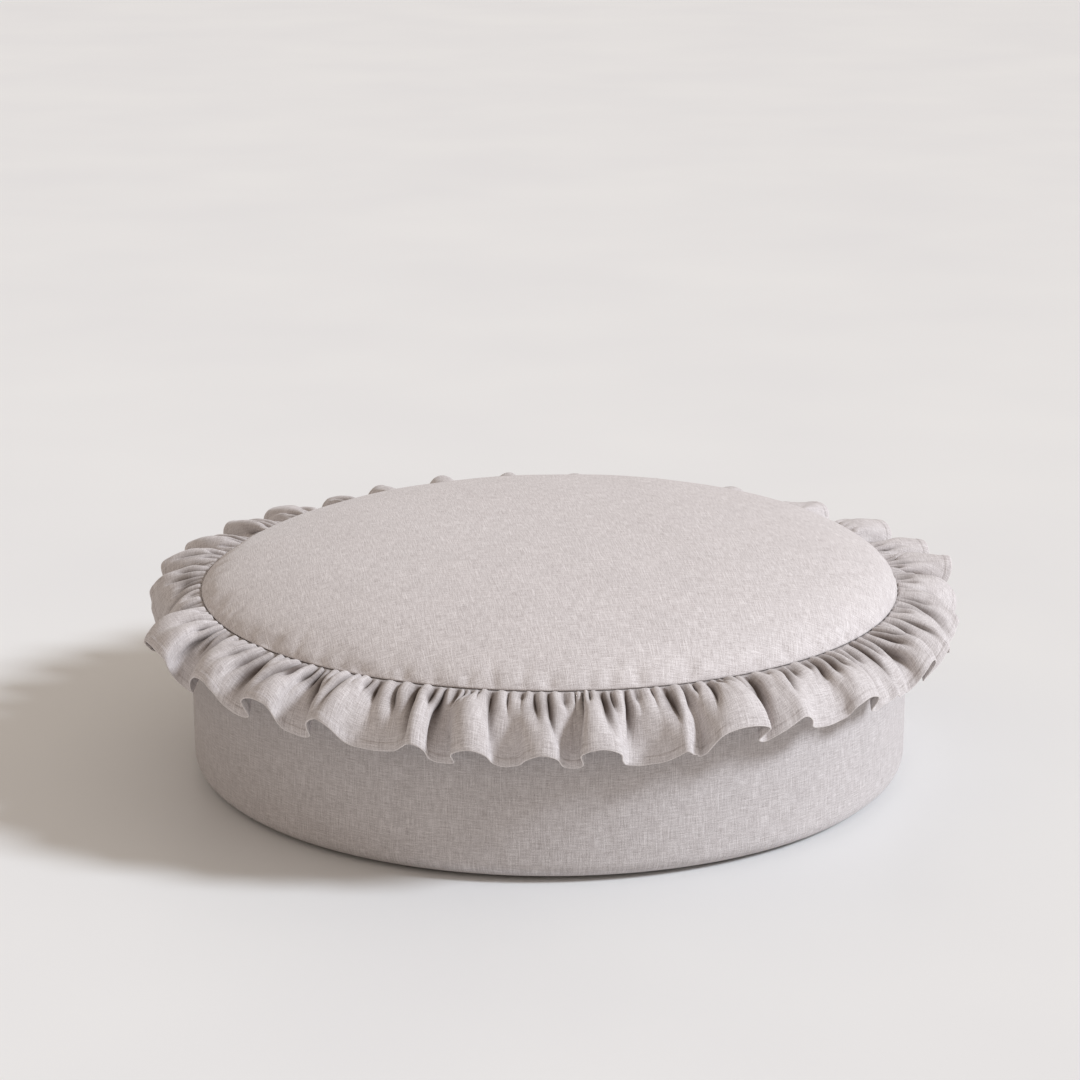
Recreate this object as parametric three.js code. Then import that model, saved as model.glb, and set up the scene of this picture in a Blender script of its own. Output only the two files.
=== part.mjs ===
// A round ottoman: a padded drum on a low dark base, a domed top, and a gathered ruffle sewn into their seam.
// Millimetres, +Z up. The origin is the middle of the base's flat underside, and the front faces -Y.
// Bearings are degrees round the ottoman from the front, growing towards +X.
import * as THREE from "three";

// Driving dimensions
const baseRadius = 565;
const baseHeight = 5;
const drumRadius = 600;
const lowerRound = 28;
const seamRadius = 582;
const seamHeight = 301.5;
const shoulderWidth = 24;
const shoulderDrop = 32;
const crownRise = 108;
const clothThickness = 1.6;
const hemThickness = 2.6;
const hemWidth = 13;
const seamAllowance = 16;
const ruffleWidth = 121;
const gatherHeight = 4.5;
const pieceGap = 0.3;

// How full the top is: the power of its outline, and how much fuller and higher it is towards +X
const crownPower = 2.5;
const crownFullness = 0.58;
const fullerSide = 0.1;
const higherSide = 0.07;

// How finely the round pieces are divided
const roundSides = 72;
const ruffleColumns = 360;
const spanSamples = 8;

// Rows of the ruffle, in millimetres of cloth below the seam. The gathers are highest at the second row.
const gatherPeak = 8;
const gatherEnd = 78;
const ruffleRows = [0, gatherPeak, 27, 55, 83, ruffleWidth - hemWidth, ruffleWidth];

// How the cloth bends from seam to hem, in degrees down from level: early on a steep strand, late on a slight one
const earlyHemAngle = 93;
const lateHemAngle = 70;
const leastLeaving = -10;
const earlySlope = 66;
const lateSlope = 22;
const earlyPower = 1.6;
const latePower = 1.8;

// The depth of a gather's valley as a share of its ridge, and how far out the hem lies as a share of the width
const valleyShare = -0.2;
const meanReachShare = 0.7;

// The ruffle's folds at the hem, in degrees round and in degrees down from level. A crest is where the cloth
// stands out, a trough is where it hangs back. A trough that starts before its crest ends tucks under it.
const folds = [
  { crestFrom: -175.5, crestTo: -172, crestSlope: -4, troughFrom: -169.2, troughTo: -166.8, troughSlope: 60 },
  { crestFrom: -164.8, crestTo: -161.4, crestSlope: -5, troughFrom: -159.8, troughTo: -157, troughSlope: 60 },
  { crestFrom: -154.8, crestTo: -151.2, crestSlope: -1, troughFrom: -149.6, troughTo: -147.8, troughSlope: 58 },
  { crestFrom: -146, crestTo: -143, crestSlope: 3, troughFrom: -141, troughTo: -138, troughSlope: 60 },
  { crestFrom: -135.8, crestTo: -131.8, crestSlope: 1, troughFrom: -130, troughTo: -127.8, troughSlope: 60 },
  { crestFrom: -126.4, crestTo: -123, crestSlope: 2, troughFrom: -121.4, troughTo: -118.8, troughSlope: 60 },
  { crestFrom: -116.2, crestTo: -112.4, crestSlope: 6, troughFrom: -110.8, troughTo: -108.4, troughSlope: 58 },
  { crestFrom: -106.6, crestTo: -103.4, crestSlope: 10, troughFrom: -101.8, troughTo: -99.8, troughSlope: 54 },
  { crestFrom: -98.4, crestTo: -95, crestSlope: 22, troughFrom: -89, troughTo: -80, troughSlope: 55 },
  { crestFrom: -71, crestTo: -62.5, crestSlope: 12, troughFrom: -63, troughTo: -58.5, troughSlope: 50 },
  { crestFrom: -54.5, crestTo: -50.2, crestSlope: 16, troughFrom: -48, troughTo: -43.8, troughSlope: 45 },
  { crestFrom: -43.2, crestTo: -38.5, crestSlope: 16, troughFrom: -37.6, troughTo: -33.2, troughSlope: 50 },
  { crestFrom: -32.6, crestTo: -29.2, crestSlope: 21, troughFrom: -27.4, troughTo: -20.4, troughSlope: 49 },
  { crestFrom: -19.4, crestTo: -16.4, crestSlope: 32, troughFrom: -15.8, troughTo: -12.9, troughSlope: 64 },
  { crestFrom: -12.4, crestTo: -8.3, crestSlope: 34, troughFrom: -7.3, troughTo: -4.2, troughSlope: 61 },
  { crestFrom: -2.9, crestTo: 0.9, crestSlope: 38, troughFrom: 1.8, troughTo: 4.3, troughSlope: 67 },
  { crestFrom: 4.1, crestTo: 8.8, crestSlope: 31.5, troughFrom: 10.4, troughTo: 15.2, troughSlope: 67 },
  { crestFrom: 17, crestTo: 18.8, crestSlope: 42, troughFrom: 19.8, troughTo: 20.9, troughSlope: 56 },
  { crestFrom: 22.1, crestTo: 28.9, crestSlope: 22, troughFrom: 28, troughTo: 30.3, troughSlope: 45 },
  { crestFrom: 32.6, crestTo: 35.6, crestSlope: 23, troughFrom: 36.4, troughTo: 42.8, troughSlope: 43 },
  { crestFrom: 43.6, crestTo: 48.4, crestSlope: 23, troughFrom: 48.5, troughTo: 51.5, troughSlope: 48 },
  { crestFrom: 53, crestTo: 55.6, crestSlope: 37, troughFrom: 57, troughTo: 59, troughSlope: 44 },
  { crestFrom: 60.2, crestTo: 63.8, crestSlope: 18, troughFrom: 63.6, troughTo: 66.5, troughSlope: 47 },
  { crestFrom: 68.8, crestTo: 71, crestSlope: 22, troughFrom: 75.5, troughTo: 78, troughSlope: 45 },
  { crestFrom: 82.2, crestTo: 83.6, crestSlope: 23, troughFrom: 86, troughTo: 88, troughSlope: 38 },
  { crestFrom: 91, crestTo: 94.6, crestSlope: 18, troughFrom: 96, troughTo: 97.6, troughSlope: 50 },
  { crestFrom: 99, crestTo: 102, crestSlope: -3, troughFrom: 103.8, troughTo: 106, troughSlope: 56 },
  { crestFrom: 108, crestTo: 111.8, crestSlope: -2, troughFrom: 113.8, troughTo: 116.8, troughSlope: 58 },
  { crestFrom: 119, crestTo: 123.2, crestSlope: -3, troughFrom: 126, troughTo: 130, troughSlope: 60 },
  { crestFrom: 133, crestTo: 137.2, crestSlope: -3, troughFrom: 140, troughTo: 144.4, troughSlope: 60 },
  { crestFrom: 147.8, crestTo: 152, crestSlope: -2, troughFrom: 154.4, troughTo: 158, troughSlope: 58 },
  { crestFrom: 161, crestTo: 165.2, crestSlope: -2, troughFrom: 167.6, troughTo: 170.5, troughSlope: 57 },
  { crestFrom: 173.5, crestTo: 177.6, crestSlope: -4, troughFrom: 179.8, troughTo: 182, troughSlope: 58 },
];

// How far a crest's slope rises, and a trough's falls, from its middle to its two ends
const crestRound = 6;
const troughRound = 5;

const { clamp, degToRad, lerp, mapLinear, smoothstep } = THREE.MathUtils;

function pointAt(bearing, radius, height) {
  const angle = degToRad(bearing);
  return new THREE.Vector3(radius * Math.sin(angle), -radius * Math.cos(angle), height);
}

// A closed surface over rings of equally many points, ended by two poles or, without them, closed on itself.
// On a closed sheet the under face splits its cells along the same lines as the upper one.
function closedSkin(rings, poles = []) {
  const columns = rings[0].length;
  const spans = poles.length ? rings.length - 1 : rings.length;
  const triangles = [];
  for (let row = 0; row < spans; row++) {
    const lower = row * columns;
    const upper = ((row + 1) % rings.length) * columns;
    const underFace = !poles.length && row >= rings.length / 2;
    for (let left = 0; left < columns; left++) {
      const right = (left + 1) % columns;
      if (underFace) {
        triangles.push(lower + left, lower + right, upper + left);
        triangles.push(lower + right, upper + right, upper + left);
      } else {
        triangles.push(lower + left, lower + right, upper + right);
        triangles.push(lower + left, upper + right, upper + left);
      }
    }
  }
  if (poles.length) {
    const bottomPole = rings.length * columns;
    const topRing = (rings.length - 1) * columns;
    for (let left = 0; left < columns; left++) {
      const right = (left + 1) % columns;
      triangles.push(bottomPole, right, left);
      triangles.push(topRing + left, topRing + right, bottomPole + 1);
    }
  }
  const geometry = new THREE.BufferGeometry().setFromPoints([...rings.flat(), ...poles]);
  geometry.setIndex(triangles);
  geometry.computeVertexNormals();
  return geometry;
}

function piece(name, geometry, color, roughness) {
  const mesh = new THREE.Mesh(geometry, new THREE.MeshStandardMaterial({ color, roughness, metalness: 0 }));
  mesh.name = name;
  return mesh;
}

// The recessed base disc
function basePlinth() {
  const profile = [
    new THREE.Vector2(0, 0),
    new THREE.Vector2(baseRadius, 0),
    new THREE.Vector2(baseRadius, baseHeight),
    new THREE.Vector2(0, baseHeight),
  ];
  const geometry = new THREE.LatheGeometry(profile, roundSides).rotateX(Math.PI / 2);
  return piece("base_plinth", geometry, "#2b2724", 0.8);
}

// The padded side, rolled under at the floor and rounded over at the seam
function paddedDrum() {
  const bottom = baseHeight + pieceGap;
  const top = seamHeight - clothThickness / 2 - pieceGap;
  const outline = new THREE.Path();
  outline.moveTo(drumRadius - lowerRound, bottom);
  outline.absarc(drumRadius - lowerRound, bottom + lowerRound, lowerRound, -Math.PI / 2, 0);
  outline.lineTo(drumRadius, top - shoulderDrop);
  const shoulderReach = drumRadius - shoulderWidth;
  outline.absellipse(shoulderReach, top - shoulderDrop, shoulderWidth, shoulderDrop, 0, Math.PI / 2);
  const profile = [new THREE.Vector2(0, bottom), ...outline.getPoints(3), new THREE.Vector2(0, top)];
  const geometry = new THREE.LatheGeometry(profile, roundSides).rotateX(Math.PI / 2);
  return piece("padded_drum", geometry, "#b9b0a9", 0.95);
}

// The stuffed top, steep at its seam and a little fuller and higher towards +X
function crownTop() {
  const underside = seamHeight + clothThickness / 2 + pieceGap;
  const peak = seamHeight + crownRise;
  const rings = [1, 0.995, 0.975, 0.94, 0.88, 0.78, 0.64, 0.46, 0.24].map((share) => {
    const ring = [];
    for (let side = 0; side < roundSides; side++) {
      const edge = pointAt((side * 360) / roundSides, seamRadius, 0);
      const towardsRight = (share * edge.x) / seamRadius;
      const fullness = crownFullness - fullerSide * towardsRight;
      const lift = Math.pow(1 - Math.pow(share, crownPower), fullness) * (1 + higherSide * towardsRight);
      ring.push(new THREE.Vector3(share * edge.x, share * edge.y, lerp(underside, peak, lift)));
    }
    return ring;
  });
  const poles = [new THREE.Vector3(0, 0, underside), new THREE.Vector3(0, 0, peak)];
  return piece("crown_top", closedSkin(rings, poles), "#cfc8c3", 0.95);
}

// The hem's path, as one bearing and slope for each column, equally far apart along the cloth
function hemPath() {
  const turned = (fold, turn) => ({
    ...fold,
    crestFrom: fold.crestFrom + turn,
    crestTo: fold.crestTo + turn,
    troughFrom: fold.troughFrom + turn,
    troughTo: fold.troughTo + turn,
  });
  const wrapped = [turned(folds.at(-1), -360), ...folds, turned(folds[0], 360)];
  const bearingScale = degToRad(seamRadius + ruffleWidth * meanReachShare);
  const slopeScale = degToRad(ruffleWidth);
  const corner = (bearing, slope) => new THREE.Vector3(bearing * bearingScale, slope * slopeScale, 0);
  const crestMiddle = (fold) => (fold.crestFrom + fold.crestTo) / 2;
  const troughMiddle = (fold) => (fold.troughFrom + fold.troughTo) / 2;
  const corners = wrapped.flatMap((fold) => [
    corner(fold.crestFrom, fold.crestSlope + crestRound),
    corner(crestMiddle(fold), fold.crestSlope),
    corner(fold.crestTo, fold.crestSlope + crestRound),
    corner(fold.troughFrom, fold.troughSlope - troughRound),
    corner(troughMiddle(fold), fold.troughSlope),
    corner(fold.troughTo, fold.troughSlope - troughRound),
  ]);
  const cornersPerFold = corners.length / wrapped.length;
  const curve = new THREE.CatmullRomCurve3(corners, false, "centripetal");
  const samples = [];
  for (let index = 0; index <= (corners.length - 1) * spanSamples; index++) {
    const at = index / spanSamples;
    const point = curve.getPoint(at / (corners.length - 1));
    const before = samples.at(-1);
    const length = before ? before.length + point.distanceTo(before.point) : 0;
    samples.push({ point, length });
  }
  // The cloth meets the seam straight inward of the middle of each crest and trough
  const lengthAt = (cornerIndex) => samples[cornerIndex * spanSamples].length;
  const anchors = wrapped.flatMap((fold, row) => [
    { length: lengthAt(row * cornersPerFold + 1), bearing: crestMiddle(fold) },
    { length: lengthAt(row * cornersPerFold + 4), bearing: troughMiddle(fold) },
  ]);
  const start = lengthAt(cornersPerFold);
  const end = lengthAt((1 + folds.length) * cornersPerFold);
  const columns = [];
  for (let column = 0; column < ruffleColumns; column++) {
    const length = lerp(start, end, column / ruffleColumns);
    const next = samples.findIndex((sample) => sample.length > length);
    const share = mapLinear(length, samples[next - 1].length, samples[next].length, 0, 1);
    const point = samples[next - 1].point.clone().lerp(samples[next].point, share);
    const past = anchors.findIndex((anchor) => anchor.length > length);
    const [from, to] = [anchors[past - 1], anchors[past]];
    columns.push({
      hemBearing: point.x / bearingScale,
      slope: point.y / slopeScale,
      seamBearing: mapLinear(length, from.length, to.length, from.bearing, to.bearing),
    });
  }
  return columns;
}

// One strand of the ruffle, which stands out from the seam and bends down to its hem
function strand({ seamBearing, hemBearing, slope }, columnIndex) {
  const late = clamp((earlySlope - slope) / (earlySlope - lateSlope), 0, 1);
  const meanBend = lerp(earlyPower / (earlyPower + 1), 1 / (latePower + 1), late);
  const hemAngle = lerp(earlyHemAngle, lateHemAngle, late);
  const leaving = Math.max((slope - hemAngle * meanBend) / (1 - meanBend), leastLeaving);
  const turning = (slope - leaving) / meanBend;
  const ridge = columnIndex % 2 === 0 ? 1 : valleyShare;
  const points = [pointAt(seamBearing, seamRadius - seamAllowance, seamHeight)];
  let reach = 0;
  let drop = 0;
  for (let along = 0; along <= ruffleWidth; along++) {
    if (ruffleRows.includes(along)) {
      const share = smoothstep(along, 0, ruffleWidth);
      const bearing = lerp(seamBearing, hemBearing, share);
      const gathered = smoothstep(along, 0, gatherPeak) * (1 - smoothstep(along, gatherPeak, gatherEnd));
      const gather = gatherHeight * ridge * gathered;
      points.push(pointAt(bearing, seamRadius + reach, seamHeight - drop + gather));
    }
    const downShare = along / ruffleWidth;
    const bend = lerp(1 - Math.pow(1 - downShare, earlyPower), Math.pow(downShare, latePower), late);
    const angle = degToRad(leaving + turning * bend);
    reach += Math.cos(angle);
    drop += Math.sin(angle);
  }
  return points;
}

// The ruffle is one closed strip: its seam allowance lies flat between drum and top, and its hem is turned
function gatheredRuffle() {
  const strands = hemPath().map(strand);
  const rows = strands[0].length;
  const faceRing = (row, face) =>
    strands.map((points, column) => {
      const left = strands.at(column - 1);
      const right = strands[(column + 1) % strands.length];
      const flat = row < 2;
      const across = right[row].clone().sub(left[row]);
      const inward = points[Math.max(row - 1, 0)].clone().sub(points[Math.min(row + 1, rows - 1)]);
      const normal = flat ? new THREE.Vector3(0, 0, 1) : across.cross(inward).normalize();
      const thickness = row >= rows - 2 ? hemThickness : clothThickness;
      return points[row].clone().addScaledVector(normal, (face * thickness) / 2);
    });
  const order = [...strands[0].keys()];
  const upper = order.toReversed().map((row) => faceRing(row, 1));
  const lower = order.map((row) => faceRing(row, -1));
  return piece("gathered_ruffle", closedSkin([...upper, ...lower]), "#d2cac5", 0.95);
}

const ottoman = new THREE.Group();
ottoman.add(basePlinth(), paddedDrum(), crownTop(), gatheredRuffle());

export default ottoman;
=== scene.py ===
# A low round ottoman: a padded side on a dark base, a stuffed domed top, and a gathered ruffle in their seam.
# Metres, +Z up, the front faces -Y. Bearings are degrees round the ottoman from the front, growing towards +X.
import math
from collections import namedtuple

import bpy
import numpy as np
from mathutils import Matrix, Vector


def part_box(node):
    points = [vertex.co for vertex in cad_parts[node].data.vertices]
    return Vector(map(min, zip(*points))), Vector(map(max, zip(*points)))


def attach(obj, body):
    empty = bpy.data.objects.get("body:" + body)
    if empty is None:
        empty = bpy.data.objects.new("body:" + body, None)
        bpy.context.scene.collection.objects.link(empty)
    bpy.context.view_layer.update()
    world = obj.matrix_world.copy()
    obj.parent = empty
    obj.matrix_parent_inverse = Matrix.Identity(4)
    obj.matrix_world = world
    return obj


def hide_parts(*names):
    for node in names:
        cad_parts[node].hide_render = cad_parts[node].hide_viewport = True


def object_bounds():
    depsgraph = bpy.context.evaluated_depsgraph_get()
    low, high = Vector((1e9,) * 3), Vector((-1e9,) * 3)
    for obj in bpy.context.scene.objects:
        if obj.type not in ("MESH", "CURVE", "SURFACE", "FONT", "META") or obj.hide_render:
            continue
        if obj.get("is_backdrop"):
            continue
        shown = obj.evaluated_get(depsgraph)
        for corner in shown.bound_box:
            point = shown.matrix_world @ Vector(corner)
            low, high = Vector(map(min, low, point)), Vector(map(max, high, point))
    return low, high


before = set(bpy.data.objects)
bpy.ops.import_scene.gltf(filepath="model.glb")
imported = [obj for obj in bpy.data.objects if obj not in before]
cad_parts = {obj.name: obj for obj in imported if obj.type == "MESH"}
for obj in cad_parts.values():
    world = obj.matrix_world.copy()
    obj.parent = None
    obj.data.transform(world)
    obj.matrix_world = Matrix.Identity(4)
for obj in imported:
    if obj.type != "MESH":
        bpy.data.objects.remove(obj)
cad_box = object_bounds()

MM = 0.001

# The studio: a camera at eye height in front, and a pale warm floor of smooth painted screed.
# A low sun-like key comes from the right and slightly from the front, and a pale sky fills the shadows.
CAMERA_PLACE = (-0.0153, -4.8382, 1.7357)
CAMERA_DIP = 15.71
CAMERA_LENS = 100
FLOOR_SIDE = 60
KEY_BEARING = 79
KEY_HEIGHT = 34.5
KEY_SPREAD = 12
KEY_STRENGTH = 3.2
SKY_STRENGTH = 0.54

bpy.ops.object.select_all(action="DESELECT")
bpy.ops.object.camera_add(location=CAMERA_PLACE, rotation=(math.radians(90 - CAMERA_DIP), 0, 0))
camera = bpy.context.object
camera.data.lens = CAMERA_LENS
bpy.context.scene.camera = camera
bpy.context.scene.view_settings.view_transform = "Standard"


def linear(hex_colour):
    """An sRGB hex colour as the linear RGBA that shaders take."""
    levels = [int(hex_colour[at : at + 2], 16) / 255 for at in (1, 3, 5)]
    return tuple(c / 12.92 if c <= 0.04045 else ((c + 0.055) / 1.055) ** 2.4 for c in levels) + (1,)


def add_node(tree, kind, inputs=None, **settings):
    """Adds a shader node, with its settings, and its inputs as values or as sockets to link."""
    made = tree.nodes.new(kind)
    for name, value in settings.items():
        setattr(made, name, value)
    for key, value in (inputs or {}).items():
        if isinstance(value, bpy.types.NodeSocket):
            tree.links.new(value, made.inputs[key])
        else:
            made.inputs[key].default_value = value
    return made


def new_material(name):
    """An empty material with its tree and its output node."""
    material = bpy.data.materials.new(name)
    material.use_nodes = True
    material.node_tree.nodes.clear()
    output = add_node(material.node_tree, "ShaderNodeOutputMaterial")
    return material, material.node_tree, output


# Painted screed: rolled smooth and sealed, so it has a faint satin gleam and a barely uneven tone
floor_paint, tree, output = new_material("painted_screed")
place = add_node(tree, "ShaderNodeTexCoord").outputs["Object"]
clouds = add_node(tree, "ShaderNodeTexNoise", {"Vector": place, "Scale": 1.3, "Detail": 2})
tone = add_node(tree, "ShaderNodeValToRGB", {"Fac": clouds.outputs["Fac"]})
tone.color_ramp.elements[0].position = 0.3
tone.color_ramp.elements[0].color = linear("#e6e6e6")
tone.color_ramp.elements[1].position = 0.7
tone.color_ramp.elements[1].color = linear("#eaeae9")
paint = add_node(
    tree, "ShaderNodeBsdfPrincipled", {"Base Color": tone.outputs["Color"], "Roughness": 0.42, "IOR": 1.45}
)
tree.links.new(paint.outputs["BSDF"], output.inputs["Surface"])

bpy.ops.mesh.primitive_plane_add(size=FLOOR_SIDE)
floor = bpy.context.object
floor.name = "floor"
floor.data.materials.append(floor_paint)
floor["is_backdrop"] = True

key_turn = math.radians(KEY_BEARING)
key_lift = math.radians(KEY_HEIGHT)
bpy.ops.object.light_add(type="SUN", location=(3, -1.5, 3))
key = bpy.context.object
key.rotation_euler = (math.pi / 2 - key_lift, 0, key_turn)
key.data.energy = KEY_STRENGTH
key.data.angle = math.radians(KEY_SPREAD)
key.data.color = linear("#eef5ff")[:3]

sky = bpy.data.worlds.new("studio_sky")
bpy.context.scene.world = sky
sky.use_nodes = True
sky.node_tree.nodes["Background"].inputs["Color"].default_value = linear("#fff2e6")
sky.node_tree.nodes["Background"].inputs["Strength"].default_value = SKY_STRENGTH


# The base: a disc of plywood stained nearly black and set back under the cloth.
# It keeps its CAD solid, and only its edge shows, as a thin dark line above the floor.
stained_board, tree, output = new_material("stained_plywood")
place = add_node(tree, "ShaderNodeTexCoord").outputs["Object"]
along_grain = add_node(tree, "ShaderNodeMapping", {"Vector": place, "Scale": (6, 120, 120)})
grain = add_node(tree, "ShaderNodeTexNoise", {"Vector": along_grain.outputs["Vector"], "Scale": 1, "Detail": 5})
stain = add_node(tree, "ShaderNodeValToRGB", {"Fac": grain.outputs["Fac"]})
stain.color_ramp.elements[0].position = 0.35
stain.color_ramp.elements[0].color = linear("#1b1715")
stain.color_ramp.elements[1].position = 0.7
stain.color_ramp.elements[1].color = linear("#332c27")
pores = add_node(tree, "ShaderNodeBump", {"Height": grain.outputs["Fac"], "Strength": 0.4, "Distance": 0.3 * MM})
board = add_node(
    tree,
    "ShaderNodeBsdfPrincipled",
    {"Base Color": stain.outputs["Color"], "Normal": pores.outputs["Normal"], "Roughness": 0.62, "IOR": 1.5},
)
tree.links.new(board.outputs["BSDF"], output.inputs["Surface"])
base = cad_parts["base_plinth"]
for slot in base.material_slots:
    slot.material = stained_board


# The padded side: one strip of slub linen round a foam-covered drum, pulled over a rounded shoulder at the
# seam and rolled under at the floor, where it is stapled to the base. It is taut, with only a slight unevenness.
drum_low, drum_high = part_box("padded_drum")
DRUM_RADIUS = drum_high[0]
DRUM_COLUMNS = 720
LOWER_ROUND = 28 * MM
SHOULDER_WIDTH = 24 * MM
SHOULDER_DROP = 32 * MM
UNDER_REACH = 30 * MM
DRUM_WAVES = 0.5 * MM
HOLLOW_LENGTH = 260 * MM
PULL_LENGTH = 45 * MM
LOWER_CREASE = 1.5 * MM
LOWER_CREASE_HEIGHT = 8 * MM
LOWER_CREASE_WIDTH = 2 * MM
SIDE_PAINTED_SHADE = 0.84
rng = np.random.default_rng(7)


def smooth(value, start, end):
    """0 up to start, 1 from end, and a smooth rise between them."""
    share = np.clip((value - start) / (end - start), 0, 1)
    return share * share * (3 - 2 * share)


def ripples(x, y, wavelength, waves=14):
    """An uneven smooth surface between about -1 and 1, from random plane waves near one wavelength."""
    total = np.zeros(np.broadcast(x, y).shape)
    for _ in range(waves):
        heading = rng.uniform(0, math.pi)
        number = 2 * math.pi / (wavelength * rng.uniform(0.7, 1.5))
        total += np.sin(number * (x * math.cos(heading) + y * math.sin(heading)) + rng.uniform(0, 2 * math.pi))
    return total / math.sqrt(waves)


def flat_cloth(name, columns, rows, uv_length, uv_width):
    """A flat grid of cloth, with its own grid of places and a UV map in metres of cloth."""
    bpy.ops.object.select_all(action="DESELECT")
    bpy.ops.mesh.primitive_grid_add(x_subdivisions=columns, y_subdivisions=rows, size=1, calc_uvs=True)
    cloth = bpy.context.object
    cloth.name = name
    cloth.data.uv_layers[0].name = "cloth"
    places = np.empty(len(cloth.data.vertices) * 3)
    cloth.data.vertices.foreach_get("co", places)
    places = places.reshape(-1, 3)
    column = np.rint((places[:, 0] + 0.5) * columns).astype(int)
    row = np.rint((places[:, 1] + 0.5) * rows).astype(int)
    loops = np.empty(len(cloth.data.loops), dtype=int)
    cloth.data.loops.foreach_get("vertex_index", loops)
    uv = np.stack([uv_length[row, column], uv_width[row, column]], axis=1)[loops]
    cloth.data.uv_layers[0].data.foreach_set("uv", uv.ravel())
    return cloth, column, row


def place_cloth(cloth, column, row, points):
    """Moves each vertex of a flat cloth to its place, given by row and column, and joins the two ends."""
    cloth.data.vertices.foreach_set("co", points[row, column].ravel())
    cloth.data.update()
    bpy.ops.object.mode_set(mode="EDIT")
    bpy.ops.mesh.select_all(action="SELECT")
    bpy.ops.mesh.remove_doubles(threshold=0.00001)
    bpy.ops.mesh.select_all(action="DESELECT")
    bpy.ops.object.mode_set(mode="OBJECT")


def round_points(bearing, radius, height):
    """Points round the upright axis, from bearings in radians."""
    return np.stack([radius * np.sin(bearing), -radius * np.cos(bearing), height * np.ones_like(bearing)], axis=-1)


def outline_length(radius, height):
    """Length along an outline up to each of its points."""
    steps = np.hypot(np.diff(radius), np.diff(height))
    return np.concatenate([[0], np.cumsum(steps)])


drum_top = drum_high[2]
drum_bottom = drum_low[2]
lower_arc = np.radians(np.linspace(-90, 0, 13))
upper_arc = np.radians(np.linspace(0, 90, 15))
side_heights = np.linspace(drum_bottom + LOWER_ROUND, drum_top - SHOULDER_DROP, 34)[1:-1]
lower_centre = DRUM_RADIUS - LOWER_ROUND
outline_radius = np.concatenate(
    [
        [lower_centre - UNDER_REACH],
        lower_centre + LOWER_ROUND * np.cos(lower_arc),
        np.full(len(side_heights), DRUM_RADIUS),
        DRUM_RADIUS - SHOULDER_WIDTH * (1 - np.cos(upper_arc)),
        [DRUM_RADIUS - SHOULDER_WIDTH - UNDER_REACH],
    ]
)
outline_height = np.concatenate(
    [
        [drum_bottom],
        drum_bottom + LOWER_ROUND * (1 + np.sin(lower_arc)),
        side_heights,
        drum_top - SHOULDER_DROP * (1 - np.sin(upper_arc)),
        [drum_top],
    ]
)
drum_rows = len(outline_radius) - 1
drum_turn = np.linspace(0, 2 * math.pi, DRUM_COLUMNS + 1)
drum_length = outline_length(outline_radius, outline_height)
uv_length, uv_width = np.meshgrid(drum_turn * DRUM_RADIUS, drum_length)
padded_side, column, row = flat_cloth("padded_side", DRUM_COLUMNS, drum_rows, uv_length, uv_width)
# Slight hollows in the padding, upright pulls in the cloth, and the crease just above the rolled lower edge
on_side = smooth(outline_height, drum_bottom + 4 * MM, drum_bottom + 50 * MM) * (
    1 - smooth(outline_height, drum_top - 45 * MM, drum_top - 12 * MM)
)
circle_x = np.cos(drum_turn)[None, :]
circle_y = np.sin(drum_turn)[None, :]
hollows = ripples(circle_x * DRUM_RADIUS, circle_y * DRUM_RADIUS + outline_height[:, None] * 0.8, HOLLOW_LENGTH)
pulls = ripples(circle_x * DRUM_RADIUS, circle_y * DRUM_RADIUS + outline_height[:, None] * 0.12, PULL_LENGTH)
crease = np.exp(-(((outline_height - drum_bottom - LOWER_CREASE_HEIGHT) / LOWER_CREASE_WIDTH) ** 2))
crease_depth = LOWER_CREASE * (0.8 + 0.3 * ripples(circle_x, circle_y, 0.5))
proud = on_side[:, None] * DRUM_WAVES * (0.9 * hollows + 0.45 * pulls) - crease[:, None] * crease_depth
points = round_points(drum_turn[None, :] + 0 * proud, outline_radius[:, None] + proud, outline_height[:, None])
place_cloth(padded_side, column, row, points)

# The cloth ends under the base and under the top, where the padding is closed over
bpy.ops.object.mode_set(mode="EDIT")
bpy.ops.mesh.select_mode(type="EDGE")
bpy.ops.mesh.select_non_manifold()
bpy.ops.mesh.fill_holes(sides=0)
bpy.ops.mesh.select_all(action="SELECT")
bpy.ops.mesh.normals_make_consistent(inside=False)
bpy.ops.mesh.select_all(action="DESELECT")
bpy.ops.object.mode_set(mode="OBJECT")
bpy.ops.object.shade_smooth()


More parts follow.
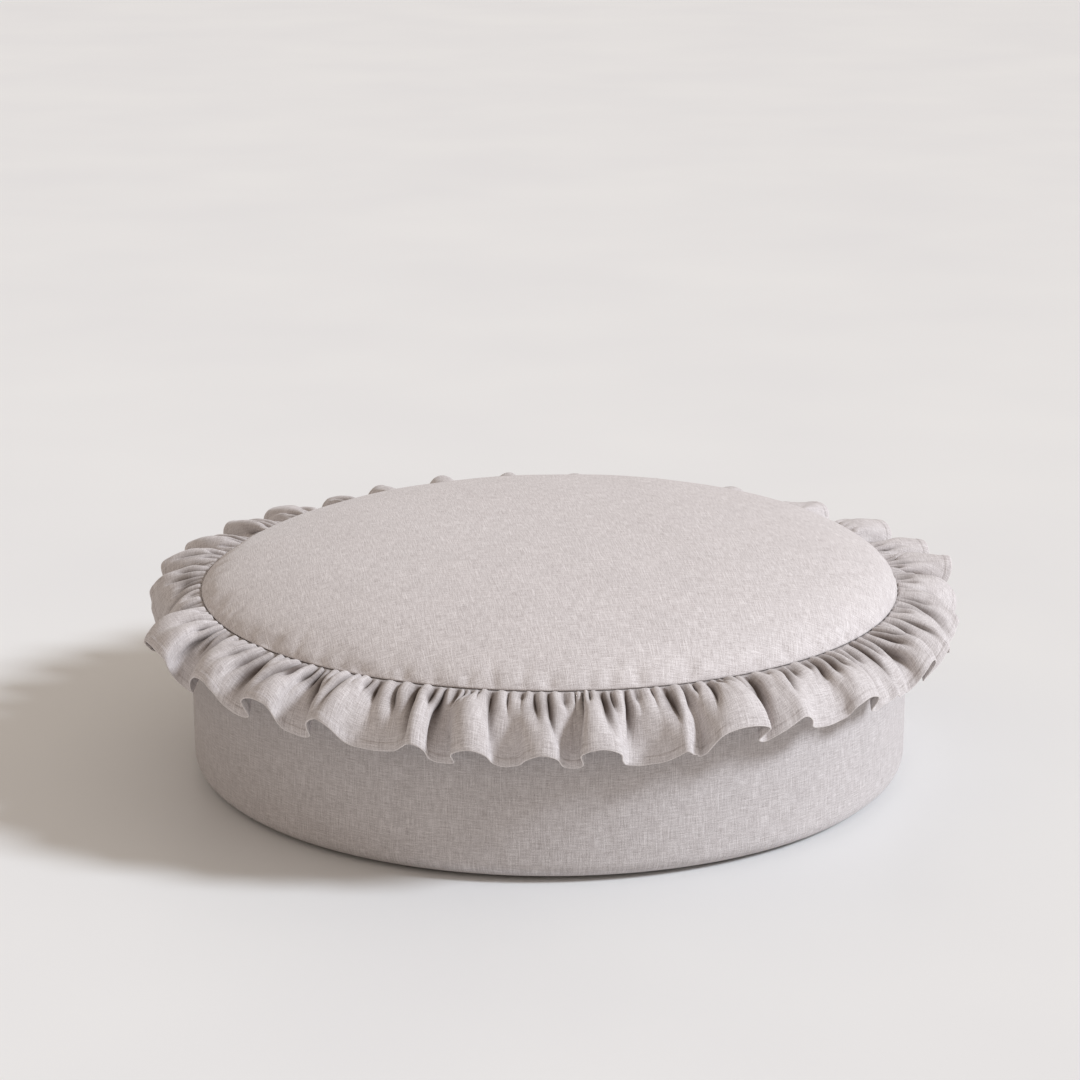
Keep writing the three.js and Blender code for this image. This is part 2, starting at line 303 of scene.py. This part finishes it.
def slub_linen(name, grain_turn=0, painted_shade=1.0, seam_shadow_heights=None, hem_highlight=None, crease_shaded=False):
    """Stonewashed slub linen in plain weave, dyed a pale mushroom: dry and matt, with uneven threads both ways.

    The real threads are 0.6 mm apart, too fine to show from here, so the slubs stand for them at about 2 mm wide.
    Painted shade can darken the whole cloth, a band near a seam, and its tightest creases, finer than its mesh, from
    its crease attribute; a painted highlight can pale a hem's rolled edge.
    """
    cloth, tree, output = new_material(name)
    on_cloth = add_node(tree, "ShaderNodeUVMap", uv_map="cloth").outputs["UV"]
    turned = add_node(tree, "ShaderNodeMapping", {"Vector": on_cloth, "Rotation": (0, 0, math.radians(grain_turn))})
    grain = turned.outputs["Vector"]

    def streaks(across_mm, along_mm, upright, detail, shift):
        """Noise drawn out along one set of threads."""
        scale = (1000 / across_mm, 1000 / along_mm, 1) if upright else (1000 / along_mm, 1000 / across_mm, 1)
        stretched = add_node(
            tree, "ShaderNodeMapping", {"Vector": grain, "Scale": scale, "Location": (shift, shift, 0)}
        )
        noise = add_node(
            tree, "ShaderNodeTexNoise", {"Vector": stretched.outputs["Vector"], "Scale": 1, "Detail": detail}
        )
        return noise.outputs["Fac"]

    def mixed(operation, first, second):
        """Two values added or multiplied."""
        return add_node(tree, "ShaderNodeMath", {0: first, 1: second}, operation=operation).outputs[0]

    upright_slubs = streaks(2.0, 24, True, 2, 3)
    level_slubs = streaks(1.9, 20, False, 2, 11)
    fine_threads = streaks(1.6, 1.8, True, 1, 5)
    mottling = streaks(70, 90, True, 3, 8)
    pale_upright = add_node(tree, "ShaderNodeMapRange", {"Value": streaks(2.2, 46, True, 1, 21), 1: 0.6, 2: 0.72})
    pale_level = add_node(tree, "ShaderNodeMapRange", {"Value": streaks(2.0, 34, False, 1, 33), 1: 0.62, 2: 0.74})
    pale_slubs = mixed("ADD", pale_upright.outputs["Result"], pale_level.outputs["Result"])
    slubs = mixed("MULTIPLY", mixed("ADD", upright_slubs, level_slubs), 0.5)
    threads = mixed("ADD", mixed("MULTIPLY", slubs, 0.66), mixed("MULTIPLY", fine_threads, 0.34))
    threads = mixed("ADD", threads, mixed("MULTIPLY", pale_slubs, 0.09))
    tone = add_node(tree, "ShaderNodeValToRGB", {"Fac": threads})
    tone.color_ramp.elements[0].position = 0.35
    tone.color_ramp.elements[0].color = linear("#ada5a3")
    tone.color_ramp.elements[1].position = 0.63
    tone.color_ramp.elements[1].color = linear("#e1dbda")
    # Random mottling, times the piece's painted shade: a darker copy of the same linen stands in for the shade the
    # piece sits in.
    mottling_and_shade = add_node(tree, "ShaderNodeMapRange", {"Value": mottling, 1: 0.3, 2: 0.7, 3: 0.98 * painted_shade, 4: 1.02 * painted_shade})
    colour = add_node(
        tree,
        "ShaderNodeMix",
        {"Factor": 1.0, 6: tone.outputs["Color"], 7: mottling_and_shade.outputs["Result"]},
        data_type="RGBA",
        blend_type="MULTIPLY",
    ).outputs[2]
    # Painted shadow: the cloth darkens in a band just above its base, in the seam's groove.
    if seam_shadow_heights:
        height = add_node(tree, "ShaderNodeSeparateXYZ", {0: add_node(tree, "ShaderNodeTexCoord").outputs["Object"]})
        seam_shadow_share = add_node(
            tree, "ShaderNodeMapRange", {"Value": height.outputs["Z"], 1: seam_shadow_heights[0], 2: seam_shadow_heights[1], 3: 1.0, 4: 0.0}
        )
        colour = add_node(
            tree,
            "ShaderNodeMix",
            {"Factor": seam_shadow_share.outputs["Result"], 6: colour, 7: linear("#6a5d56")},
            data_type="RGBA",
        ).outputs[2]
    # Painted shade in creases finer than the mesh, from the crease attribute.
    if crease_shaded:
        crease_depth = add_node(tree, "ShaderNodeAttribute", attribute_name="crease").outputs["Fac"]
        colour = add_node(
            tree,
            "ShaderNodeMix",
            {"Factor": crease_depth, 6: colour, 7: linear("#5d514b")},
            data_type="RGBA",
        ).outputs[2]
    # Painted highlight: the hem pales towards its edge, where light catches the rolled cloth.
    if hem_highlight:
        across = add_node(tree, "ShaderNodeSeparateXYZ", {0: on_cloth}).outputs["Y"]
        hem_highlight_share = add_node(tree, "ShaderNodeMapRange", {"Value": across, 1: hem_highlight[0], 2: hem_highlight[1], 3: 0.0, 4: 0.45})
        colour = add_node(
            tree,
            "ShaderNodeMix",
            {"Factor": hem_highlight_share.outputs["Result"], 6: colour, 7: linear("#efe8e3")},
            data_type="RGBA",
        ).outputs[2]
    weave = add_node(tree, "ShaderNodeBump", {"Height": threads, "Strength": 0.75, "Distance": 1.2 * MM})
    linen = add_node(
        tree,
        "ShaderNodeBsdfPrincipled",
        {
            "Base Color": colour,
            "Normal": weave.outputs["Normal"],
            "Roughness": 0.92,
            "IOR": 1.4,
            "Specular IOR Level": 0.25,
            "Sheen Weight": 0.18,
            "Sheen Roughness": 0.45,
        },
    )
    tree.links.new(linen.outputs["BSDF"], output.inputs["Surface"])
    return cloth


# Painted shade: the side is the same linen made darker, for the shade on its upright face under the ruffle.
padded_side.data.materials.append(slub_linen("slub_linen_side", painted_shade=SIDE_PAINTED_SHADE))
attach(padded_side, "root")
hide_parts("padded_drum")


# The stuffed top: one round panel of the same linen over a domed cushion, steep where its edge is drawn down
# into the seam. Its grain is turned a little, and the gathered seam puckers its last few centimetres.
crown_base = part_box("crown_top")[0][2]
SEAM_RADIUS = 582 * MM
SEAM_HEIGHT = 301.5 * MM
CROWN_RISE = 108 * MM
CROWN_POWER = 2.5
CROWN_FULLNESS = 0.58
FULLER_SIDE = 0.1
HIGHER_SIDE = 0.07
CROWN_COLUMNS = 720
EDGE_TUCK = 1.8 * MM
EDGE_ROLL = 2.4 * MM
PUCKER_DEPTH = 3.4 * MM
SHORTEST_PUCKER, LONGEST_PUCKER = 30, 90
NARROWEST_PUCKER, WIDEST_PUCKER = 7, 19
LEAST_SPACING, MOST_SPACING = 15, 58
CUSHION_LENGTH = 240 * MM
CUSHION_WAVES = 0.9 * MM
SMALL_LENGTH = 90 * MM
SMALL_WAVES = 0.1 * MM
SEAM_SHADOW = (0.3 * MM, 1.7 * MM)
GRAIN_TURN = -8

crown_shares = np.concatenate(
    [
        np.linspace(0.004, 0.8, 30),
        np.linspace(0.8, 0.93, 12)[1:],
        np.linspace(0.93, 0.985, 12)[1:],
        1 - 0.015 * (1 - np.linspace(0, 1, 10)[1:]) ** 2,
    ]
)
crown_turn = np.linspace(0, 2 * math.pi, CROWN_COLUMNS + 1)
share = crown_shares[::-1][:, None]
side = share * np.sin(crown_turn)[None, :]
lift = (1 - share**CROWN_POWER) ** (CROWN_FULLNESS - FULLER_SIDE * side) * (1 + HIGHER_SIDE * side)
crown_height = crown_base + (SEAM_HEIGHT + CROWN_RISE - crown_base) * lift
above = crown_height - crown_base
crown_radius = SEAM_RADIUS * share - EDGE_TUCK * (1 - smooth(above, 0, EDGE_ROLL))
crown_x = crown_radius * np.sin(crown_turn)[None, :]
crown_y = -crown_radius * np.cos(crown_turn)[None, :]

# Puckers are shallow troughs that run in from the seam, each with its own length, width and depth
pucker_wave = np.zeros_like(crown_height)
from_seam = SEAM_RADIUS * (1 - share) + 0.6 * above
bearing = crown_turn[0]
while bearing < 2 * math.pi:
    reach = rng.uniform(SHORTEST_PUCKER, LONGEST_PUCKER) * MM
    width = rng.uniform(NARROWEST_PUCKER, WIDEST_PUCKER) * MM / SEAM_RADIUS
    depth = PUCKER_DEPTH * rng.uniform(0.3, 1.3)
    lean = rng.uniform(-0.25, 0.25) * from_seam / SEAM_RADIUS
    off = np.abs((crown_turn[None, :] - bearing - lean + math.pi) % (2 * math.pi) - math.pi)
    fade = smooth(from_seam, 0, 8 * MM) * (1 - smooth(from_seam, 0.25 * reach, reach))
    pucker_wave += depth * fade * np.exp(-((off / (width * (0.6 + from_seam / reach))) ** 2))
    bearing += rng.uniform(LEAST_SPACING, MOST_SPACING) * MM / SEAM_RADIUS
cushion_waves = ripples(crown_x, crown_y, CUSHION_LENGTH) * CUSHION_WAVES
cushion_waves += ripples(crown_x, crown_y, SMALL_LENGTH) * SMALL_WAVES
cushion_waves *= 1 - smooth(share, 0.9, 1)
steepness = smooth(share, 0.85, 1)
crown_radius = crown_radius - pucker_wave * steepness * 0.8
crown_height = np.maximum(crown_height - pucker_wave * (1 - 0.5 * steepness) + cushion_waves, crown_base)
crown_height[0] = crown_base
points = np.stack(
    [crown_radius * np.sin(crown_turn)[None, :], -crown_radius * np.cos(crown_turn)[None, :], crown_height], axis=-1
)
points[:, -1] = points[:, 0]
steps = np.linalg.norm(np.diff(points[::-1], axis=0), axis=-1)
cloth_radius = np.concatenate([SEAM_RADIUS * share[-1] * np.ones((1, CROWN_COLUMNS + 1)), steps]).cumsum(axis=0)[::-1]
uv_length = cloth_radius * np.sin(crown_turn)[None, :]
uv_width = -cloth_radius * np.cos(crown_turn)[None, :]
stuffed_top, column, row = flat_cloth("stuffed_top", CROWN_COLUMNS, len(crown_shares) - 1, uv_length, uv_width)
place_cloth(stuffed_top, column, row, points)
bpy.ops.object.mode_set(mode="EDIT")
bpy.ops.mesh.select_mode(type="EDGE")
bpy.ops.mesh.select_non_manifold()
bpy.ops.mesh.fill_holes(sides=0)
bpy.ops.mesh.select_all(action="SELECT")
bpy.ops.mesh.normals_make_consistent(inside=False)
bpy.ops.mesh.select_all(action="DESELECT")
bpy.ops.object.mode_set(mode="OBJECT")
bpy.ops.object.shade_smooth()
# Painted shadow on the top's last 0.3 to 1.7 mm above its base, where it tucks into the seam.
seam_shadow_band = (crown_base + SEAM_SHADOW[0], crown_base + SEAM_SHADOW[1])
stuffed_top.data.materials.append(slub_linen("slub_linen_top", grain_turn=GRAIN_TURN, seam_shadow_heights=seam_shadow_band))
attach(stuffed_top, "root")
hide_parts("crown_top")


# The ruffle: one strip of the linen, about twice as long as the seam, its raw edge gathered into the seam and
# its free edge turned under and stitched. Its uneven flutes stand out at a crest and hang back at a trough.
# Its sizes are in millimetres and its angles in degrees.
RUFFLE_WIDTH = 121
HEM_WIDTH = 13
SEAM_ALLOWANCE = 10
SEAM_REACH = 582
MEAN_REACH_SHARE = 0.7
EARLY_HEM_ANGLE = 93
LATE_HEM_ANGLE = 70
LEAST_LEAVING = -10
EARLY_SLOPE = 66
LATE_SLOPE = 22
EARLY_POWER = 1.6
LATE_POWER = 1.8
SPAN_SAMPLES = 16
GATHERS = 224
GATHER_COLUMNS = (0, 0.09, 0.25, 0.43, 0.60, 0.77, 0.92)
RUFFLE_ROWS = (
    -SEAM_ALLOWANCE, 0, 1.5, 3.5, 6, 9, 12.5, 16.5, 21, 26, 31.5, 37.5, 44, 51, 58, 65, 72, 79, 86, 92, 97, 101.5,
    106, 107.8, 108.6, 111, 115, 118.5, 120.2, 121,
)
CLOTH_THICKNESS = 1.5
HEM_THICKNESS = 2.7
SEAM_EDGE_THICKNESS = 1.0
HEM_EDGE_THICKNESS = 1.1
HEM_HIGHLIGHT_WIDTH = 1.6
# The ruffle's linen is painted a little darker, for its shade.
RUFFLE_PAINTED_SHADE = 0.93
LOWEST_PUFF = 3.4
HIGHEST_PUFF = 7.0
MOST_LEAN = 0.75
VALLEY_START = 1.9
HIGHEST_RIDGE = 8
FULL_CREASE_SHADE = 9
STITCH_PULL = 0.28
STITCH_SHADE = 0.16
CLOTH_CLEARANCE = 2.0

# Slopes are in degrees down from level. A trough that starts before its crest ends tucks under it.
Fold = namedtuple("Fold", "crest_from crest_to crest_slope trough_from trough_to trough_slope")
FOLDS = [
    Fold(-175.5, -172, -4, -169.2, -166.8, 60),
    Fold(-164.8, -161.4, -5, -159.8, -157, 60),
    Fold(-154.8, -151.2, -1, -149.6, -147.8, 58),
    Fold(-146, -143, 3, -141, -138, 60),
    Fold(-135.8, -131.8, 1, -130, -127.8, 60),
    Fold(-126.4, -123, 2, -121.4, -118.8, 60),
    Fold(-116.2, -112.4, 6, -110.8, -108.4, 58),
    Fold(-106.6, -103.4, 10, -101.8, -99.8, 54),
    Fold(-98.4, -95, 22, -89, -80, 55),
    Fold(-71, -62.5, 12, -63, -58.5, 50),
    Fold(-54.5, -50.2, 16, -48, -43.8, 45),
    Fold(-43.2, -38.5, 16, -37.6, -33.2, 50),
    Fold(-32.6, -29.2, 21, -27.4, -20.4, 49),
    Fold(-19.4, -16.4, 32, -15.8, -12.9, 64),
    Fold(-12.4, -8.3, 34, -7.3, -4.2, 61),
    Fold(-2.9, 0.9, 38, 1.8, 4.3, 67),
    Fold(4.1, 8.8, 31.5, 10.4, 15.2, 67),
    Fold(17, 18.8, 42, 19.8, 20.9, 56),
    Fold(22.1, 28.9, 22, 28, 30.3, 45),
    Fold(32.6, 35.6, 23, 36.4, 42.8, 43),
    Fold(43.6, 48.4, 23, 48.5, 51.5, 48),
    Fold(53, 55.6, 37, 57, 59, 44),
    Fold(60.2, 63.8, 18, 63.6, 66.5, 47),
    Fold(68.8, 71, 22, 75.5, 78, 45),
    Fold(82.2, 83.6, 23, 86, 88, 38),
    Fold(91, 94.6, 18, 96, 97.6, 50),
    Fold(99, 102, -3, 103.8, 106, 56),
    Fold(108, 111.8, -2, 113.8, 116.8, 58),
    Fold(119, 123.2, -3, 126, 130, 60),
    Fold(133, 137.2, -3, 140, 144.4, 60),
    Fold(147.8, 152, -2, 154.4, 158, 58),
    Fold(161, 165.2, -2, 167.6, 170.5, 57),
    Fold(173.5, 177.6, -4, 179.8, 182, 58),
]

# The hem's path: a smooth curve through six corners of each fold, in millimetres round and down the cloth.
# The ends of a crest hang lower than its middle, and the ends of a trough higher, so both are round.
CREST_ROUND = 6
TROUGH_ROUND = 5
bearing_scale = math.radians(SEAM_REACH + RUFFLE_WIDTH * MEAN_REACH_SHARE)
slope_scale = math.radians(RUFFLE_WIDTH)
wrapped = []
for turn, group in ((-360, FOLDS[-2:]), (0, FOLDS), (360, FOLDS[:2])):
    for fold in group:
        wrapped.append((fold.crest_from + turn, fold.crest_slope + CREST_ROUND))
        wrapped.append(((fold.crest_from + fold.crest_to) / 2 + turn, fold.crest_slope))
        wrapped.append((fold.crest_to + turn, fold.crest_slope + CREST_ROUND))
        wrapped.append((fold.trough_from + turn, fold.trough_slope - TROUGH_ROUND))
        wrapped.append(((fold.trough_from + fold.trough_to) / 2 + turn, fold.trough_slope))
        wrapped.append((fold.trough_to + turn, fold.trough_slope - TROUGH_ROUND))
corners = np.array(wrapped) * (bearing_scale, slope_scale)


def curve_through(corners, samples):
    """A centripetal Catmull-Rom curve, with as many samples on each span, from the second corner on."""
    before, start, end, after = corners[:-3], corners[1:-2], corners[2:-1], corners[3:]
    spans = ((before, start), (start, end), (end, after))
    first, middle, last = (np.linalg.norm(to - come, axis=1)[:, None] ** 0.5 for come, to in spans)
    leaving = (start - before) / first - (end - before) / (first + middle) + (end - start) / middle
    arriving = (end - start) / middle - (after - start) / (middle + last) + (after - end) / last
    leaving, arriving = leaving * middle, arriving * middle
    at = (np.arange(samples) / samples)[None, :, None]
    start, end, leaving, arriving = (a[:, None, :] for a in (start, end, leaving, arriving))
    curve = start + leaving * at + (3 * (end - start) - 2 * leaving - arriving) * at**2
    curve = curve + (2 * (start - end) + leaving + arriving) * at**3
    return curve.reshape(-1, 2)


hem_curve = curve_through(corners, SPAN_SAMPLES)
curve_length = np.concatenate([[0], np.cumsum(np.linalg.norm(np.diff(hem_curve, axis=0), axis=1))])
first_fold = 11 * SPAN_SAMPLES
last_fold = first_fold + 6 * len(FOLDS) * SPAN_SAMPLES
hem_length = curve_length[last_fold] - curve_length[first_fold]
cloth_at = curve_length - curve_length[first_fold]
middle_corners = np.arange(1, len(corners) - 3, 3)
anchor_index = (middle_corners - 1) * SPAN_SAMPLES
anchor_bearing = corners[middle_corners, 0] / bearing_scale


def fold_at(along_strip):
    """Bearing at the hem, slope, and bearing at the seam, for places along the strip in millimetres."""
    hem_bearing = np.interp(along_strip, cloth_at, hem_curve[:, 0]) / bearing_scale
    slope = np.interp(along_strip, cloth_at, hem_curve[:, 1]) / slope_scale
    seam_bearing = np.interp(along_strip, cloth_at[anchor_index], anchor_bearing)
    return hem_bearing, slope, seam_bearing


# Each gather has one valley line and a puff beside it. The mesh columns follow the valleys at the seam and
# even out towards the hem, where the cloth hangs free.
ruffle_rng = np.random.default_rng(23)
per_gather = len(GATHER_COLUMNS)
ruffle_columns = GATHERS * per_gather
cloth_steps = ruffle_rng.uniform(0.62, 1.42, GATHERS)
valley_places = np.concatenate([[0], np.cumsum(cloth_steps)]) * hem_length / cloth_steps.sum()
seam_places = (valley_places[:-1, None] + np.diff(valley_places)[:, None] * np.array(GATHER_COLUMNS)).ravel()
even_places = np.arange(ruffle_columns) * hem_length / ruffle_columns
seam_places = np.append(seam_places, hem_length)
even_places = np.append(even_places, hem_length)
down = np.array(RUFFLE_ROWS, dtype=float)[:, None]
evening = smooth(down, 12, 96)
along = seam_places * (1 - evening) + even_places * evening
hem_bearing, slope, seam_bearing = fold_at(along)

# The smooth flutes stand out from the seam and bend down to the hem, early in a trough and late on a crest
reach = np.zeros_like(along)
drop = np.zeros_like(along)
late = np.clip((EARLY_SLOPE - slope) / (EARLY_SLOPE - LATE_SLOPE), 0, 1)
mean_bend = (1 - late) * EARLY_POWER / (EARLY_POWER + 1) + late / (LATE_POWER + 1)
hem_angle = (1 - late) * EARLY_HEM_ANGLE + late * LATE_HEM_ANGLE
leaving = np.maximum((slope - hem_angle * mean_bend) / (1 - mean_bend), LEAST_LEAVING)
turning = (slope - leaving) / mean_bend
for step in range(RUFFLE_WIDTH + 1):
    part = np.clip(down - step, 0, 1)
    down_share = min(step + 0.5, RUFFLE_WIDTH) / RUFFLE_WIDTH
    bend = (1 - late) * (1 - (1 - down_share) ** EARLY_POWER) + late * down_share**LATE_POWER
    angle = np.radians(leaving + turning * bend)
    reach += np.cos(angle) * part
    drop += np.sin(angle) * part
reach = np.where(down < 0, down, reach)
follow = smooth(down, 0, RUFFLE_WIDTH)
round_bearing = np.radians(seam_bearing * (1 - follow) + hem_bearing * follow)
flutes = round_points(round_bearing, (SEAM_REACH + reach) * MM, SEAM_HEIGHT - drop * MM)

# The way out of the cloth at each point
across = np.roll(flutes[:, :-1], -1, axis=1) - np.roll(flutes[:, :-1], 1, axis=1)
across[:, 0] = flutes[:, 1] - flutes[:, -2]
across = np.concatenate([across, across[:, :1]], axis=1)
inward = -np.gradient(flutes, axis=0)
outward = np.cross(across, inward)
outward /= np.linalg.norm(outward, axis=-1, keepdims=True)
outward[:2] = (0, 0, 1)

# The gathers hold the strip's spare length: puffs between sharp valleys. Short valleys end where two puffs join,
# middling ones part the cloth of a flute, and the few long ones run on almost to the hem.
index = np.arange(ruffle_columns + 1)
gather = np.minimum(index // per_gather, GATHERS - 1)
within = (seam_places - valley_places[gather]) / np.diff(valley_places)[gather]
ValleyKind = namedtuple("ValleyKind", "shortest longest shallowest deepest widest")
VALLEY_KINDS = [
    ValleyKind(24, 46, 6.5, 11.0, 3.6),
    ValleyKind(52, 92, 9.0, 13.5, 5.5),
    ValleyKind(98, 140, 10.0, 16.0, 9),
]
in_trough = np.clip((fold_at(valley_places[:-1])[1] - 18) / 36, 0, 1)
kind_chance = ruffle_rng.random(GATHERS)
kind_of = (kind_chance > 0.46 - 0.3 * in_trough).astype(int) + (kind_chance > 0.84 - 0.34 * in_trough)
kind_of[1:][(kind_of[1:] == 2) & (kind_of[:-1] == 2)] = 0
chance = ruffle_rng.random((3, GATHERS))
kinds = np.array(VALLEY_KINDS)[kind_of]
valley_length = kinds[:, 0] + (kinds[:, 1] - kinds[:, 0]) * chance[0]
valley_depth = kinds[:, 2] + (kinds[:, 3] - kinds[:, 2]) * chance[1]
valley_width = kinds[:, 4] * (0.7 + 0.6 * chance[2])
valley_lean = ruffle_rng.uniform(0.55, 1.8, (GATHERS, 2))
puff_height = ruffle_rng.uniform(LOWEST_PUFF, HIGHEST_PUFF, GATHERS)
puff_lean = ruffle_rng.uniform(-MOST_LEAN, MOST_LEAN, GATHERS)
gather_width = np.diff(valley_places)[gather][None, :] * (0.5 + 0.5 * smooth(down, 0, RUFFLE_WIDTH))
starting = smooth(down, 0, 4.5)


def valley(number, distance, side):
    """Depth of a valley of the gathers at a distance from its line, in millimetres."""
    number = number % GATHERS
    length = valley_length[number][None, :]
    gone = np.clip(down / length, 0, 1)
    width = VALLEY_START + (valley_width[number] - VALLEY_START)[None, :] * gone
    width = width * valley_lean[number, side][None, :]
    blunt = 0.2 + 0.22 * valley_width[number][None, :] * gone
    form = np.exp(-(np.sqrt(distance**2 + blunt**2) - blunt) / width)
    return valley_depth[number][None, :] * form * starting * (1 - smooth(down, 0.45 * length, length))


valleys = valley(gather, within[None, :] * gather_width, 1)
valleys += valley(gather + 1, (1 - within[None, :]) * gather_width, 0)
puffs = puff_height[gather][None, :] * np.sin(np.pi * np.clip(within, 0, 1))[None, :] ** 0.65
puffs = puffs * starting * (1 - smooth(down, 14, 54))

# Between the longer valleys the cloth swells in broader ridges
parting = np.flatnonzero(kind_of > 0)
position = gather + within
before = parting[np.searchsorted(parting, position, side="right") - 1].astype(float)
after = parting[np.searchsorted(parting, position, side="right") % len(parting)].astype(float)
before[before > position] -= GATHERS
after[after <= position] += GATHERS
between = (position - before) / (after - before)
ridge_height = 2 + 1.4 * (after - before)
ridges = ridge_height[None, :] * np.sin(np.pi * between)[None, :] ** 0.9
ridges = np.minimum(ridges, HIGHEST_RIDGE) * smooth(down, 6, 40) * (1 - 0.8 * smooth(down, 56, 118))

# Softer folds that run on to the hem, and the stitching's light pull on the turned edge
strip_turn = 2 * math.pi * along / hem_length
soft = np.zeros_like(along)
for count, size in ((61, 0.55), (83, 0.6), (97, 0.5), (127, 0.45), (163, 0.35), (211, 0.25)):
    slant = ruffle_rng.uniform(-0.012, 0.012)
    soft += size * np.sin(count * (strip_turn + slant * down / RUFFLE_WIDTH * 3) + ruffle_rng.uniform(0, 2 * math.pi))
soft *= smooth(down, 4, 60)
hem_pull = STITCH_PULL * np.sin(823 * strip_turn + 1.4 * np.sin(37 * strip_turn)) * smooth(down, 97, 108)
hem_pull = hem_pull * (1 - 0.6 * smooth(down, 111, RUFFLE_WIDTH))
proud = (puffs + ridges - valleys + soft + hem_pull) * MM

# Painted shade at each place from its crease: most in the valleys near the seam, in a band along the seam itself, and
# faintly along the hem's stitches
crease_shade = 0.95 * np.clip(valleys / FULL_CREASE_SHADE, 0, 1) ** 1.3 * (1 - 0.6 * smooth(down, 24, 104))
crease_shade = np.maximum(crease_shade, 0.45 * (1 - smooth(down, 0.5, 3)))
stitch_line = RUFFLE_WIDTH - HEM_WIDTH
crease_shade = np.maximum(crease_shade, STITCH_SHADE * np.exp(-(((down - stitch_line) / 0.7) ** 2)))
leaning = np.maximum(puffs * puff_lean[gather][None, :], -4) * MM
sideways = across / np.linalg.norm(across, axis=-1, keepdims=True)
ruffle_points = flutes + outward * proud[..., None] + sideways * leaning[..., None]

# The cloth stays clear of the drum's rounded shoulder and side
radius = np.hypot(ruffle_points[..., 0], ruffle_points[..., 1])
past_shoulder = np.clip((radius - (DRUM_RADIUS - SHOULDER_WIDTH)) / SHOULDER_WIDTH, 0, 1)
shoulder = drum_top - SHOULDER_DROP * (1 - np.sqrt(1 - past_shoulder**2))
over_drum = (radius < DRUM_RADIUS) & (ruffle_points[..., 2] > drum_top - SHOULDER_DROP)
least_height = shoulder + (CLOTH_THICKNESS / 2 + 0.35) * MM
ruffle_points[..., 2] = np.where(over_drum, np.maximum(ruffle_points[..., 2], least_height), ruffle_points[..., 2])
beside_drum = ruffle_points[..., 2] <= drum_top - SHOULDER_DROP
push = np.where(beside_drum, np.maximum(DRUM_RADIUS + CLOTH_CLEARANCE * MM - radius, 0), 0)
ruffle_points[..., :2] *= ((radius + push) / radius)[..., None]
ruffle_points[:, -1] = ruffle_points[:, 0]

strip_length = np.linalg.norm(np.diff(flutes[-1], axis=0), axis=1).sum()
uv_length = along / hem_length * strip_length
uv_width = np.broadcast_to(down, along.shape) * MM
ruffle, column, row = flat_cloth("gathered_strip", ruffle_columns, len(RUFFLE_ROWS) - 1, uv_length, uv_width)
# The crease attribute carries the painted shade of the creases.
ruffle.data.attributes.new("crease", "FLOAT", "POINT").data.foreach_set("value", crease_shade[row, column])
place_cloth(ruffle, column, row, ruffle_points)

# The hem is three layers, thick from its stitch line down and rounded at its edge
down_of_vertex = np.zeros(len(ruffle.data.vertices))
loops = np.empty(len(ruffle.data.loops), dtype=int)
ruffle.data.loops.foreach_get("vertex_index", loops)
uv = np.empty(len(loops) * 2)
ruffle.data.uv_layers["cloth"].data.foreach_get("uv", uv)
down_of_vertex[loops] = uv[1::2] / MM
thick = np.interp(
    down_of_vertex,
    (-SEAM_ALLOWANCE, 0, 107.8, 108.6, 118.5, 120.2, RUFFLE_WIDTH),
    (SEAM_EDGE_THICKNESS, CLOTH_THICKNESS, CLOTH_THICKNESS, HEM_THICKNESS, HEM_THICKNESS, 2.1, HEM_EDGE_THICKNESS),
)
thickness_group = ruffle.vertex_groups.new(name="thickness")
for level in np.unique(np.round(thick, 3)):
    members = np.flatnonzero(np.round(thick, 3) == level)
    thickness_group.add(members.tolist(), float(level / HEM_THICKNESS), "REPLACE")
bpy.ops.object.mode_set(mode="EDIT")
bpy.ops.mesh.select_all(action="SELECT")
bpy.ops.mesh.normals_make_consistent(inside=False)
bpy.ops.mesh.select_all(action="DESELECT")
bpy.ops.object.mode_set(mode="OBJECT")
solid = ruffle.modifiers.new("layers", "SOLIDIFY")
solid.thickness = HEM_THICKNESS * MM
solid.offset = 0
solid.vertex_group = "thickness"
bpy.ops.object.modifier_apply(modifier="layers")
bpy.ops.object.shade_smooth()
# Painted highlight along the last 1.6 mm of the hem's rolled edge.
hem_highlight_band = ((RUFFLE_WIDTH - HEM_HIGHLIGHT_WIDTH) * MM, (RUFFLE_WIDTH - HEM_HIGHLIGHT_WIDTH / 4) * MM)
# The ruffle's linen is made a little darker as painted shade.
ruffle.data.materials.append(slub_linen("slub_linen_ruffle", painted_shade=RUFFLE_PAINTED_SHADE, hem_highlight=hem_highlight_band, crease_shaded=True))
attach(ruffle, "root")
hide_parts("gathered_ruffle")

size = {"cad": [list(corner) for corner in cad_box], "visual": [list(corner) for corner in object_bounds()]}
